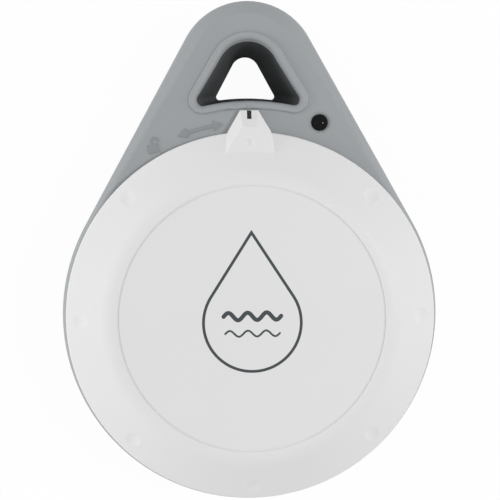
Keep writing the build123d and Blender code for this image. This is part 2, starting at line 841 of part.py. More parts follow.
def pair_switch():
    """Square switch body with a round well for the button's stem."""
    top_z = board_top_z + switch_height
    body = slab(RectangleRounded(switch_side, switch_side, switch_corner), board_top_z, top_z)
    body -= disc(switch_bore_radius, top_z - switch_bore_depth, top_z + overrun)
    return Pos(switch_x, switch_y, 0) * body


def pair_button():
    """Button cap on a stem that slides down into the switch."""
    top_z = board_top_z + switch_height
    cap_low = top_z + button_cap_lift
    cap = disc(button_cap_radius, cap_low, cap_low + button_cap_height)
    cap = chamfer(edges_at(cap, cap_low + button_cap_height), button_cap_chamfer)
    stem = disc(switch_bore_radius - button_stem_gap, top_z - button_stem_low, cap_low + sliver)
    return Pos(switch_x, switch_y, 0) * (cap + stem)


def microcontroller():
    """Flat chip with rows of gull legs on its four sides."""
    top_z = board_top_z + chip_height
    body = slab(Rectangle(chip_side, chip_side), board_top_z, top_z)
    body = chamfer(edges_at(body, top_z), chip_chamfer)
    half = chip_side / 2
    first = -(chip_leg_count - 1) / 2 * chip_leg_spacing
    row = Sketch() + [
        Pos(first + place * chip_leg_spacing, half) * Rectangle(chip_leg_width, chip_leg_reach * 2)
        for place in range(chip_leg_count)
    ]
    legs = slab(row, board_top_z, board_top_z + chip_leg_height)
    body = body + [Rot(0, 0, 90 * side) * legs for side in range(4)]
    return Pos(chip_x, chip_y, 0) * body


def crystal():
    """Metal can of the clock crystal on its base rim."""
    top_z = board_top_z + crystal_height
    can = slab(SlotOverall(crystal_length, crystal_width), board_top_z, top_z)
    can = chamfer(edges_at(can, top_z), crystal_chamfer)
    rim = SlotOverall(crystal_length + crystal_base_grow * 2, crystal_width + crystal_base_grow * 2)
    base = slab(rim, board_top_z, board_top_z + crystal_base_height)
    return Pos(crystal_x, crystal_y, 0) * Rot(0, 0, 90) * (can + base)


def storage_capacitor():
    """Round aluminium can on a square base."""
    top_z = board_top_z + capacitor_height
    can = chamfer(edges_at(disc(capacitor_radius, board_top_z, top_z), top_z), capacitor_chamfer)
    base = slab(RectangleRounded(capacitor_base_side, capacitor_base_side, capacitor_chamfer),
                board_top_z, board_top_z + capacitor_base)
    return Pos(capacitor_x, capacitor_y, 0) * (can + base)


def radio_module():
    """Small board with a shielding can."""
    board = slab(Rectangle(radio_width, radio_depth), board_top_z, board_top_z + radio_board)
    inset = radio_can_inset * 2
    can_top = board_top_z + radio_board + radio_can_height
    can_low = board_top_z + radio_board - sliver
    can = slab(Rectangle(radio_width - inset, radio_depth - inset), can_low, can_top)
    can = chamfer(edges_at(can, can_top), radio_can_chamfer)
    return Pos(radio_x, radio_y, 0) * (board + can)


def antenna_wire_run():
    """Wire from the board's tab, along one flank, round the nose and part of the way back."""
    small = nose_radius - antenna_inset
    lean = asin((case_radius - nose_radius) / nose_reach)
    high_x = small * cos(lean)
    high_y = nose_reach + small * sin(lean)
    height = board_top_z + antenna_lift
    start = (-flank_x(antenna_inset, antenna_start_y), antenna_start_y, height)
    end = (flank_x(antenna_inset, antenna_end_y), antenna_end_y, height)
    left = (-high_x, high_y, height)
    right = (high_x, high_y, height)
    bend = ThreePointArc(left, (0, nose_reach + small, height), right)
    path = Wire([Line(start, left).edge(), bend.edge(), Line(right, end).edge()])
    section = Plane(origin=path @ 0, z_dir=path % 0) * Circle(antenna_wire)
    run = sweep(section, path=path)
    elbow = Pos(*start) * Sphere(antenna_wire)
    foot = disc(antenna_wire, board_top_z, height, start[0], start[1])
    return run + elbow + foot


def turned_end(piece):
    """The same piece for the other cell, which lies the other way round."""
    return Rot(0, 0, 180) * piece


def all_nodes():
    nodes = {
        "rear_housing": rear_housing(),
        "front_housing": front_housing(),
        "twist_cover": twist_cover(),
        "cover_seal": cover_seal(),
        "housing_gasket": housing_gasket(),
        "case_screws": case_screws(),
        "circuit_board": circuit_board(),
        "board_screws": board_screws(),
        "battery_tray": battery_tray(),
        "tray_screws": tray_screws(),
        "battery_left": battery(),
        "battery_right": turned_end(battery()),
        "positive_plate": terminal_plate(),
        "negative_plate": mirror(terminal_plate(), Plane.YZ),
        "bridge_plate": bridge_plate(),
        "bridge_spring": contact_spring(),
        "negative_spring": turned_end(contact_spring()),
        "led_lens": led_lens(),
        "status_led": status_led(),
        "pair_switch": pair_switch(),
        "pair_button": pair_button(),
        "microcontroller": microcontroller(),
        "crystal": crystal(),
        "storage_capacitor": storage_capacitor(),
        "radio_module": radio_module(),
        "antenna_wire": antenna_wire_run(),
    }
    for name, angle in pin_angles.items():
        nodes[f"sensing_pin_{name}"] = sensing_pin(angle)
        nodes[f"pin_seal_{name}"] = pin_seal(angle)
    return nodes


def main():
    os.makedirs("parts", exist_ok=True)
    middle_y = (nose_reach + nose_radius - case_radius) / 2
    for name, piece in all_nodes().items():
        placed = Pos(0, -middle_y, 0) * piece
        print(name, len(placed.solids()), round(placed.volume, 2), placed.is_valid)
        export_step(placed, f"parts/{name}.step")


main()
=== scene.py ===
import json
from math import asin, atan, cos, pi, radians, sin

import bmesh
import bpy
from mathutils import Matrix, Vector


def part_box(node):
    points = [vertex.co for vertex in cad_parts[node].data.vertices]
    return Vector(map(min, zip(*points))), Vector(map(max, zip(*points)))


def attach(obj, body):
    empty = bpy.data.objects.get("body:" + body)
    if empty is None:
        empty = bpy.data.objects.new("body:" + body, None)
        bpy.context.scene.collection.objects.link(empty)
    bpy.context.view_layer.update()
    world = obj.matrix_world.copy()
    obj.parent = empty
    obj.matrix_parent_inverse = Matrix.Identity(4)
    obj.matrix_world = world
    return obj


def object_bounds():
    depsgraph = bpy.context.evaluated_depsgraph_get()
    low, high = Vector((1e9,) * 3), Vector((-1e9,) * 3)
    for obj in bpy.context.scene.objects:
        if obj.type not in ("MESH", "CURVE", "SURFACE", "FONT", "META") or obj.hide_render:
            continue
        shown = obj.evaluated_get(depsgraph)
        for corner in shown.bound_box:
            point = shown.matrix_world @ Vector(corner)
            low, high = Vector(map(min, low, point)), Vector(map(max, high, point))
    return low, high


bl_info = {
    "name": "Water leak sensor",
    "version": (1, 0, 0),
    "blender": (4, 5, 0),
    "location": "3D View > Sidebar > Leak sensor",
    "description": "Finishes, prints and moulded signs of a water leak sensor, and the stage it lies on",
    "category": "Object",
}

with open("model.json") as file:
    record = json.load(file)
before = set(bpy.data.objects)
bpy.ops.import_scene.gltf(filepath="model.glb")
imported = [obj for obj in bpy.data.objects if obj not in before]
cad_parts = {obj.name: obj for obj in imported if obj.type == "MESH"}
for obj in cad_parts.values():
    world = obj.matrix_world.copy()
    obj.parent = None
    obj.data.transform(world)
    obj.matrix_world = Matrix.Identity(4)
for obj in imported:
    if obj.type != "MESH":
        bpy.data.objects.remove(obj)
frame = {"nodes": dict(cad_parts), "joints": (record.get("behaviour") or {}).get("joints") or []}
cad_low, cad_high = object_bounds()

# Lengths are in metres, as in the frame
MM = 0.001
joint_of = {joint["name"]: joint for joint in frame["joints"]}
axis_x, axis_y, _ = joint_of["cover_twist"]["pos_m"]
_, cover_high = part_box("twist_cover")
_, front_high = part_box("front_housing")

# The deck lies below the lip of the hang hole, and the printed field a little below the cover's top
LIP_HEIGHT = 0.55 * MM
FIELD_SINK = 0.05 * MM
deck_z = front_high.z - LIP_HEIGHT
field_z = cover_high.z - FIELD_SINK

# Pointer of the cover: heights of its slope over the deck, and the groove that the index paint fills
POINTER_TIP_RISE = 1.3 * MM
POINTER_RISE = 3.35 * MM
POINTER_SLOPE_LENGTH = 3.5 * MM
INDEX_WIDTH = 0.9 * MM
INDEX_LENGTH = 2.1 * MM
INDEX_DEPTH = 0.2 * MM
# The paint keeps off the groove's walls, sinks into its floor, and has a soft edge below the slope
PAINT_MARGIN = 0.03 * MM
PAINT_EDGE = 0.05 * MM
PAINT_EDGE_STEPS = 3
PAINT_SINK_SHARE = 0.35

# Waves in the drop: place above the round part's middle, rise to either side, and share of the full width
WAVE_LINES = {
    "upper": (1.35 * MM, 0.75 * MM, 1.0),
    "lower": (-2.15 * MM, 0.6 * MM, 0.95),
}
WAVE_COUNT = 3
INK_EDGE_SHARE = 0.5

# Signs on the deck: angles about the twist axis, from the pointer, counter-clockwise
ARROW_ENDS = (radians(7.7), radians(21.4))
LOCK_TURN = radians(29.5)
LOCK_TILT = radians(15)
# Their tone beside the deck's, darker as painted shade, their root in it, their drawn-in edge, and the step
# between tops that cross
SIGN_PAINTED_SHADE_SHARE = 0.88
SIGN_ROOT = 0.05 * MM
SIGN_EDGE_SHARE = 0.5
SIGN_LAP = 0.001 * MM
# The arrow's heads: length as a share of their width, and the share of it that the shaft leaves free
HEAD_LENGTH_SHARE = 0.95
HEAD_FREE_SHARE = 0.6
ARROW_STEPS = 24
# The padlock's body and its shackle's radius as shares of its width, and the legs as shares of that radius
LOCK_HALF_HEIGHT_SHARE = 0.38
LOCK_CORNER_SHARE = 0.1
SHACKLE_RADIUS_SHARE = 0.3
LONG_LEG_SHARE = 0.75
SHORT_LEG_SHARE = 0.25
CORNER_STEPS = 4
SHACKLE_STEPS = 16

# A line drawn with a round pen: steps in its round end, and the least width that its end and its top keep
CAP_STEPS = 5
CAP_LEAST_SHARE = 0.08
TOP_LEAST_SHARE = 0.2

# Bare metal at either end of a cell, beyond its film
CELL_BARE_LENGTH = 2.2 * MM

# Camera of the main view, nearly straight above the cover and a little to its left
CAMERA_PLACE = (-8.96 * MM, 14.68 * MM, 219 * MM)
CAMERA_TARGET = (-0.09 * MM, 0.85 * MM, 19 * MM)
CAMERA_ROLL = radians(-0.677)
CAMERA_LENS_MM = 70.17
CAMERA_SENSOR_MM = 36.0
CAMERA_CLIP = 10 * MM

# Soft lamps at both sides, low and high: place, width, length, watts, and whether gloss mirrors them
LAMPS = {
    "left_low_softbox": ((-620 * MM, 20 * MM, 150 * MM), 220 * MM, 500 * MM, 2.2, False),
    "right_low_softbox": ((620 * MM, 20 * MM, 150 * MM), 220 * MM, 500 * MM, 0.85, False),
    "left_high_lamp": ((-330 * MM, 20 * MM, 500 * MM), 100 * MM, 100 * MM, 0.1, True),
    "right_high_lamp": ((330 * MM, 20 * MM, 500 * MM), 100 * MM, 100 * MM, 0.95, True),
}
# Light of the world on the sensor, and how much of the floor's look is an even glow
FILL_STRENGTH = 0.57
FLOOR_GLOW_SHARE = 0.96
FLOOR_HALF = 1600 * MM
FLOOR_CELLS = 8

# The curve of sRGB colours
SRGB_TOP = 255
SRGB_KNEE = 0.04045
SRGB_SLOPE = 12.92
SRGB_OFFSET = 0.055
SRGB_POWER = 2.4

# Between these a pattern's values mostly lie
PATTERN_LOW = 0.3
PATTERN_HIGH = 0.7

# Moulded ABS: how far its roughness swings, and how much deeper its broad relief is than its grain
ABS_ROUGHNESS_SWING = 0.04
ABS_BROAD_DEPTHS = 2


def hex_colour(code):
    """An sRGB hex colour as linear values."""
    values = [int(code[place:place + 2], 16) / SRGB_TOP for place in (1, 3, 5)]
    linear = [value / SRGB_SLOPE if value <= SRGB_KNEE
              else ((value + SRGB_OFFSET) / (1 + SRGB_OFFSET)) ** SRGB_POWER for value in values]
    return (*linear, 1.0)


def colour_setting(name, code, description):
    """A colour that a user may change."""
    return bpy.props.FloatVectorProperty(
        name=name, description=description, default=hex_colour(code)[:3],
        subtype="COLOR", size=3, min=0, max=1)


def length_setting(name, millimetres, description):
    """A length that a user may change."""
    return bpy.props.FloatProperty(
        name=name, description=description, default=millimetres * MM,
        unit="LENGTH", min=0.01 * MM, max=100 * MM, precision=5)


class LeakSensorColours(bpy.types.PropertyGroup):
    """Colours of the sensor's finishes"""
    housing: colour_setting("Front housing", "#989C9E", "Light grey of the front housing and its signs")
    rear: colour_setting("Rear housing", "#5F6263", "Charcoal of the rear housing and the hang hole")
    cover: colour_setting("Cover", "#E1E1E1", "White of the twist cover")
    print_ink: colour_setting("Print", "#3D4346", "Dark grey ink of the drop and its waves")
    index_paint: colour_setting("Index line", "#1E2223", "Black paint in the pointer's groove")
    lens: colour_setting("Light lens", "#0B0C0D", "Smoked plastic of the light's lens")
    rubber: colour_setting("Seals", "#1C1C1D", "Black silicone rubber")
    board: colour_setting("Circuit board", "#1F6B3F", "Solder mask of the board")
    button: colour_setting("Pairing button", "#CFCFCF", "White of the pairing button")
    tray: colour_setting("Battery tray", "#202122", "Black of the battery tray")
    jacket: colour_setting("Cell jacket", "#2F5E8C", "Film jacket of the cells")


class LeakSensorPrint(bpy.types.PropertyGroup):
    """Sizes of the print on the cover"""
    drop_radius: length_setting("Drop radius", 10.15, "Radius of the drop's round part, outside")
    drop_tip: length_setting("Drop tip", 18.78, "From the middle of the round part to the tip")
    drop_shift: length_setting("Drop shift", 0.65, "How far the round part's middle lies below the cover's")
    stroke: length_setting("Stroke", 0.58, "Width of the drop's line")
    wave_width: length_setting("Wave width", 11.6, "Width of the upper wave line")
    wave_bold: length_setting("Upper wave stroke", 0.85, "Stroke of the upper wave")
    wave_fine: length_setting("Lower wave stroke", 0.4, "Stroke of the lower wave")
    thickness: length_setting("Ink thickness", 0.012, "Height of the ink over the plastic")


class LeakSensorSigns(bpy.types.PropertyGroup):
    """Sizes of the signs moulded in the housing"""
    height: length_setting("Sign height", 0.16, "How far the signs stand out")
    arrow_radius: length_setting("Arrow radius", 39.85, "Radius of the arrow's arc about the twist axis")
    arrow_width: length_setting("Arrow width", 0.75, "Width of the arrow's shaft")
    arrow_head: length_setting("Arrow head", 2.1, "Width of the arrow's heads")
    lock_radius: length_setting("Lock radius", 39.8, "Distance of the padlock from the twist axis")
    lock_width: length_setting("Lock width", 2.3, "Width of the padlock's body")
    lock_stroke: length_setting("Lock stroke", 0.42, "Stroke of the padlock's shackle")


def add(tree, kind, inputs=None, **settings):
    """Add a shader node. An input's value is a number, a colour or a socket to link from."""
    made = tree.nodes.new(kind)
    for name, value in settings.items():
        setattr(made, name, value)
    for name, value in (inputs or {}).items():
        if isinstance(value, bpy.types.NodeSocket):
            tree.links.new(value, made.inputs[name])
        else:
            made.inputs[name].default_value = value
    return made


def real_size(tree, millimetres, place=None, **more):
    """Inputs of a pattern that repeats once in a real length, at places in metres on the piece."""
    if place is None:
        place = add(tree, "ShaderNodeTexCoord").outputs["Object"]
    return {"Vector": place, "Scale": 1 / (millimetres * MM), **more}


def socket_name(word):
    """The shader socket that a keyword stands for."""
    return word.replace("_", " ").title().replace("Ior", "IOR")


def new_surface(name, **values):
    """A material whose one Principled shader has even values on its own sockets."""
    material = bpy.data.materials.new(name)
    material.use_nodes = True
    tree = material.node_tree
    shader = tree.nodes["Principled BSDF"]
    for word, value in values.items():
        shader.inputs[socket_name(word)].default_value = value
    return material, tree, shader


def lead(tree, shader, **sockets):
    """Link the shader's sockets from other nodes."""
    for word, socket in sockets.items():
        tree.links.new(socket, shader.inputs[socket_name(word)])


def between(pattern, low, high):
    """Inputs that map a pattern's usual range to two values."""
    usual = {"From Min": PATTERN_LOW, "From Max": PATTERN_HIGH}
    return {"Value": pattern, **usual, "To Min": low, "To Max": high}


def tinted(tree, colour, pattern, change):
    """The colour, lightened and darkened a little by a pattern."""
    value = add(tree, "ShaderNodeMapRange", between(pattern, 1 - change, 1 + change)).outputs["Result"]
    inputs = {"Value": value, "Color": (*colour[:3], 1.0)}
    return add(tree, "ShaderNodeHueSaturation", inputs).outputs["Color"]


def dress(tree, shader, colour, tint, roughness, reliefs, strength=1.0):
    """Let patterns lead a surface, and return its tinted colour.

    tint is a pattern and its change of the colour's value, roughness a pattern with a low and a high value,
    and reliefs are patterns with their depths in millimetres, each laid over the one before.
    """
    film = tinted(tree, colour, *tint)
    rough = add(tree, "ShaderNodeMapRange", between(*roughness)).outputs["Result"]
    under = {}
    for pattern, depth_mm in reliefs:
        inputs = {"Height": pattern, "Distance": depth_mm * MM, "Strength": strength, **under}
        under = {"Normal": add(tree, "ShaderNodeBump", inputs).outputs["Normal"]}
    lead(tree, shader, base_color=film, roughness=rough, normal=under["Normal"])
    return film


def one_grain(name, colour, grain_mm, detail, tint, roughness, relief_mm, **values):
    """A surface whose colour, roughness and relief all follow one random grain."""
    material, tree, shader = new_surface(name, **values)
    grain = add(tree, "ShaderNodeTexNoise", real_size(tree, grain_mm, Detail=detail)).outputs["Fac"]
    dress(tree, shader, colour, (grain, tint), (grain, *roughness), [(grain, relief_mm)])
    return material


def spark_eroded_abs(name, colour, grain_mm, relief_mm, roughness, sheen_level=0.42):
    """Moulded ABS from a spark-eroded tool: an even fine grain that breaks up the gloss.

    The real grain of about 0.1 mm is too fine to show, so it is drawn a few times as coarse.
    """
    material, tree, shader = new_surface(name, IOR=1.54, specular_ior_level=sheen_level)
    broad = add(tree, "ShaderNodeTexNoise", real_size(tree, 14.0, Detail=1.0)).outputs["Fac"]
    size = real_size(tree, grain_mm, Detail=3.0, Roughness=0.6)
    grain = add(tree, "ShaderNodeTexNoise", size).outputs["Fac"]
    limits = (roughness - ABS_ROUGHNESS_SWING, roughness + ABS_ROUGHNESS_SWING)
    dress(tree, shader, colour, tint=(broad, 0.012), roughness=(grain, *limits),
          reliefs=[(broad, relief_mm * ABS_BROAD_DEPTHS), (grain, relief_mm)])
    return material


def satin_abs(name, colour):
    """White ABS from a finely polished tool: soft sheen, faint flow clouds, hardly any grain."""
    material, tree, shader = new_surface(name, IOR=1.54, specular_ior_level=0.28)
    flow = add(tree, "ShaderNodeTexNoise", real_size(tree, 22.0, Detail=1.0)).outputs["Fac"]
    grain = add(tree, "ShaderNodeTexNoise", real_size(tree, 0.5, Detail=2.0)).outputs["Fac"]
    dress(tree, shader, colour, tint=(flow, 0.006), roughness=(grain, 0.4, 0.48), reliefs=[(grain, 0.0035)])
    return material


def screen_print_ink(name, colour):
    """Screen-printed ink: dense and matt, with the mesh's faint weave in its surface.

    The mesh of about 0.1 mm is too fine to show, so it is drawn at nearly twice that.
    """
    material, tree, shader = new_surface(name, IOR=1.5, specular_ior_level=0.35)
    weave = add(tree, "ShaderNodeTexVoronoi", real_size(tree, 0.18)).outputs["Distance"]
    dress(tree, shader, colour, tint=(weave, 0.05), roughness=(weave, 0.5, 0.62), reliefs=[(weave, 0.002)])
    return material


def moulded_silicone(name, colour):
    """Silicone rubber: dull black with a soft bloom."""
    return one_grain(name, colour, grain_mm=1.2, detail=4.0, tint=0.15, roughness=(0.6, 0.75), relief_mm=0.01,
                     IOR=1.43, specular_ior_level=0.3)


def turned_stainless(name, centres, ring_mm=0.12):
    """Turned stainless steel: fine rings about each pin's own middle.

    The tool's marks, under 0.1 mm apart, are too fine to show, so they are drawn a little coarser.
    """
    material, tree, shader = new_surface(name, metallic=1.0)
    spot = add(tree, "ShaderNodeTexCoord").outputs["Object"]
    # To start with, farther than any place on the sensor
    nearest = (cad_high - cad_low).length
    for centre in centres:
        arm = spot
        for operation, value in (("SUBTRACT", (centre.x, centre.y, 0)), ("MULTIPLY", (1, 1, 0))):
            arm = add(tree, "ShaderNodeVectorMath", {0: arm, 1: value}, operation=operation).outputs["Vector"]
        reach = add(tree, "ShaderNodeVectorMath", {0: arm}, operation="LENGTH").outputs["Value"]
        nearest = add(tree, "ShaderNodeMath", {0: reach, 1: nearest}, operation="MINIMUM").outputs["Value"]
    turns = add(tree, "ShaderNodeMath", {0: nearest, 1: 2 * pi / (ring_mm * MM)}, operation="MULTIPLY")
    rings = add(tree, "ShaderNodeMath", {0: turns.outputs["Value"]}, operation="SINE").outputs["Value"]
    grime = add(tree, "ShaderNodeTexNoise", real_size(tree, 0.8, Detail=3.0)).outputs["Fac"]
    dress(tree, shader, hex_colour("#C9C6C1"), tint=(grime, 0.05), roughness=(grime, 0.22, 0.32),
          reliefs=[(rings, 0.003)])
    return material


def zinc_plated_steel(name):
    """Zinc-plated steel, cold headed: grey metal with a broken, slightly milky sheen."""
    return one_grain(name, hex_colour("#B4B6B8"), grain_mm=0.6, detail=3.0, tint=0.08, roughness=(0.3, 0.45),
                     relief_mm=0.006, metallic=1.0)


def stamped_nickel(name, squeeze_share=0.08):
    """Nickel-plated spring steel: warm bright metal with rolling lines that run across the sensor."""
    material, tree, shader = new_surface(name, metallic=1.0)
    spot = add(tree, "ShaderNodeTexCoord").outputs["Object"]
    # Squeezing the places along X draws the pattern out into lines
    drawn_out = add(tree, "ShaderNodeVectorMath", {0: spot, 1: (squeeze_share, 1, 1)}, operation="MULTIPLY")
    size = real_size(tree, 0.15, place=drawn_out.outputs["Vector"], Detail=2.0)
    lines = add(tree, "ShaderNodeTexNoise", size).outputs["Fac"]
    dress(tree, shader, hex_colour("#CFC8BA"), tint=(lines, 0.04), roughness=(lines, 0.2, 0.3),
          reliefs=[(lines, 0.002)])
    return material


def drawn_can(name, code):
    """Drawn sheet metal of crystal, capacitor and radio cans: bright with a soft brushed haze."""
    return one_grain(name, hex_colour(code), grain_mm=0.4, detail=3.0, tint=0.03, roughness=(0.24, 0.34),
                     relief_mm=0.002, metallic=1.0)


def lacquered_copper(name):
    """Lacquered copper wire: drawing lines under a thin amber coat."""
    return one_grain(name, hex_colour("#B9713C"), grain_mm=0.25, detail=3.0, tint=0.06,
                     roughness=(0.25, 0.35), relief_mm=0.003, metallic=1.0, coat_weight=0.5,
                     coat_roughness=0.12)


def solder_masked_board(name, colour):
    """Glass-epoxy board under green mask: copper tracks show through as relief, over a faint weave."""
    material, tree, shader = new_surface(name, IOR=1.5, specular_ior_level=0.5, coat_weight=0.25,
                                         coat_roughness=0.15)
    # Tracks 1.27 mm apart, as the pins of chips are
    size = {**real_size(tree, 1.0), "Mortar Size": 0.09, "Brick Width": 3.4, "Row Height": 1.27}
    tracks = add(tree, "ShaderNodeTexBrick", size).outputs["Fac"]
    weave = add(tree, "ShaderNodeTexNoise", real_size(tree, 0.6, Detail=1.0)).outputs["Fac"]
    dress(tree, shader, colour, tint=(tracks, 0.22), roughness=(weave, 0.28, 0.38), reliefs=[(tracks, 0.035)],
          strength=0.6)
    return material


def filmed_cell(name, colour, film_end):
    """Cell in a printed shrink film, bare metal at both ends."""
    material, tree, shader = new_surface(name, IOR=1.5)
    spot = add(tree, "ShaderNodeTexCoord").outputs["Object"]
    bare = add(tree, "ShaderNodeSeparateXYZ", {"Vector": spot}).outputs["Y"]
    for operation, value in (("SUBTRACT", axis_y), ("ABSOLUTE", 0), ("GREATER_THAN", film_end)):
        bare = add(tree, "ShaderNodeMath", {0: bare, 1: value}, operation=operation).outputs["Value"]
    crinkle = add(tree, "ShaderNodeTexNoise", real_size(tree, 1.5, Detail=2.0)).outputs["Fac"]
    film = dress(tree, shader, colour, tint=(crinkle, 0.05), roughness=(crinkle, 0.26, 0.36),
                 reliefs=[(crinkle, 0.01)])
    ends = {"Factor": bare, "A": film, "B": hex_colour("#BDBBB6")}
    mix = add(tree, "ShaderNodeMix", ends, data_type="RGBA")
    lead(tree, shader, base_color=mix.outputs["Result"], metallic=bare)
    return material


def smoked_lens(name, colour):
    """Smoked polycarbonate from a polished tool: near black, with sharp highlights."""
    return one_grain(name, colour, grain_mm=0.9, detail=1.0, tint=0.1, roughness=(0.05, 0.09),
                     relief_mm=0.0008, IOR=1.585, specular_ior_level=0.08)


def moulded_epoxy(name):
    """Moulded epoxy of chips and the switch: black with fine silica sparkle."""
    return one_grain(name, hex_colour("#1B1B1D"), grain_mm=0.12, detail=2.0, tint=0.2, roughness=(0.5, 0.62),
                     relief_mm=0.006, IOR=1.52)


def led_body(name):
    """Light body: white reflector plastic with the faint yellow of its phosphor gel."""
    return one_grain(name, hex_colour("#E9E4C8"), grain_mm=0.5, detail=2.0, tint=0.04, roughness=(0.3, 0.4),
                     relief_mm=0.004, IOR=1.5)


def paint(material, *nodes):
    """Give CAD nodes a material in their own slots."""
    for name in nodes:
        piece = frame["nodes"][name]
        if not piece.material_slots:
            piece.data.materials.append(material)
        for slot in piece.material_slots:
            slot.material = material


def mesh_object(name, mesh, material):
    """A finished bmesh as an object of the scene."""
    data = bpy.data.meshes.new(name)
    mesh.to_mesh(data)
    mesh.free()
    data.materials.append(material)
    made = bpy.data.objects.new(name, data)
    bpy.context.scene.collection.objects.link(made)
    return made


def new_piece(name, mesh, material, body):
    """A piece from a finished bmesh, riding on a body."""
    bmesh.ops.recalc_face_normals(mesh, faces=mesh.faces)
    piece = mesh_object(name, mesh, material)
    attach(piece, body)


def skin(mesh, rows):
    """Faces between each row of vertices and the next, where each row is a closed loop."""
    for one, two in zip(rows, rows[1:]):
        for place in range(len(one)):
            after = (place + 1) % len(one)
            mesh.faces.new((one[place], one[after], two[after], two[place]))


def close_ends(mesh, rows):
    """A face over the last row and one over the first."""
    mesh.faces.new(rows[-1])
    mesh.faces.new(list(reversed(rows[0])))


def drawn_in(spot, middle, inset):
    """A place moved towards a middle, but never past it."""
    return spot.lerp(middle, min(1, inset / (spot - middle).length))


def band(mesh, outer, inner, low, high, top_inset):
    """A closed band between two loops of the same count, with its top edges drawn in."""
    middles = [(a + b) / 2 for a, b in zip(outer, inner)]
    rows = []
    for loop, height, inset in ((outer, low, 0), (outer, high - top_inset, 0), (outer, high, top_inset),
                                (inner, high, top_inset), (inner, high - top_inset, 0), (inner, low, 0)):
        spots = [drawn_in(spot, middle, inset) for spot, middle in zip(loop, middles)]
        rows.append([mesh.verts.new((*spot, height)) for spot in spots])
    skin(mesh, rows + rows[:1])


def slab(mesh, outline, low, high, top_inset):
    """A closed flat solid from a convex outline, with its top edge drawn in."""
    middle = sum(outline, Vector((0, 0))) / len(outline)
    rows = []
    for height, inset in ((low, 0), (high - top_inset, 0), (high, top_inset)):
        rows.append([mesh.verts.new((*drawn_in(spot, middle, inset), height)) for spot in outline])
    skin(mesh, rows)
    close_ends(mesh, rows)


def pen_line(mesh, line, half, low, high, top_inset):
    """A closed solid along a line drawn with a round pen, with its top edges drawn in."""
    sides = []
    for place, spot in enumerate(line):
        before = line[max(place - 1, 0)]
        after = line[min(place + 1, len(line) - 1)]
        along = (after - before).normalized()
        sides.append((spot, along, Vector((-along.y, along.x))))
    turns = [pi / 2 * step / CAP_STEPS for step in range(CAP_STEPS + 1)]
    least = half * CAP_LEAST_SHARE
    start, along, side = sides[0]
    stations = [(start - along * half * cos(turn), side, max(half * sin(turn), least)) for turn in turns[:-1]]
    stations += [(spot, side, half) for spot, _, side in sides]
    end, along, side = sides[-1]
    stations += [(end + along * half * sin(turn), side, max(half * cos(turn), least)) for turn in turns[1:]]
    rows = []
    for spot, side, reach in stations:
        drawn = max(reach - top_inset, reach * TOP_LEAST_SHARE)
        profile = ((reach, low), (reach, high - top_inset), (drawn, high),
                   (-drawn, high), (-reach, high - top_inset), (-reach, low))
        rows.append([mesh.verts.new((*(spot + side * across), height)) for across, height in profile])
    skin(mesh, rows)
    close_ends(mesh, rows)


def on_arc(radius, angle):
    """A place about the twist axis; the angle counts from the pointer, counter-clockwise."""
    return Vector((axis_x - radius * sin(angle), axis_y + radius * cos(angle)))


def drop_outline(size, inset, steps=96):
    """The drop: a circle and the two tangents from its tip, drawn in by an inset."""
    radius = size.drop_radius - inset
    lean = asin(size.drop_radius / size.drop_tip)
    tip = size.drop_tip - inset / sin(lean)
    middle = Vector((axis_x, axis_y - size.drop_shift))
    spots = [middle + Vector((0, tip))]
    for step in range(steps + 1):
        angle = lean - (pi + 2 * lean) * step / steps
        spots.append(middle + Vector((radius * cos(angle), radius * sin(angle))))
    return spots


def wave_line(width, rise, middle, steps=64):
    """A gentle sine line, as wide on either side of its middle."""
    spots = []
    for step in range(steps + 1):
        share = step / steps
        across = (share - 1 / 2) * width
        spots.append(middle + Vector((across, rise * sin(2 * pi * WAVE_COUNT * share))))
    return spots


def look_from(place, target, roll=0.0):
    """Rotation of a lamp or camera that faces a target, with +Y up in its picture before it rolls."""
    back = (Vector(place) - Vector(target)).normalized()
    right = Vector((0, 1, 0)).cross(back).normalized()
    up = back.cross(right)
    level = Matrix((right, up, back)).transposed()
    return (level @ Matrix.Rotation(roll, 3, "Z")).to_euler()


def seen_rays(tree):
    """1 for rays from the camera, straight or by gloss or glass, and 0 for light on its way."""
    path = add(tree, "ShaderNodeLightPath").outputs
    seen = path["Is Camera Ray"]
    for kind in ("Is Glossy Ray", "Is Transmission Ray"):
        seen = add(tree, "ShaderNodeMath", {0: seen, 1: path[kind]}, operation="MAXIMUM").outputs["Value"]
    return seen


class LeakSensorPiece:
    """What all of the sensor's operators share"""
    bl_options = {"REGISTER", "UNDO"}


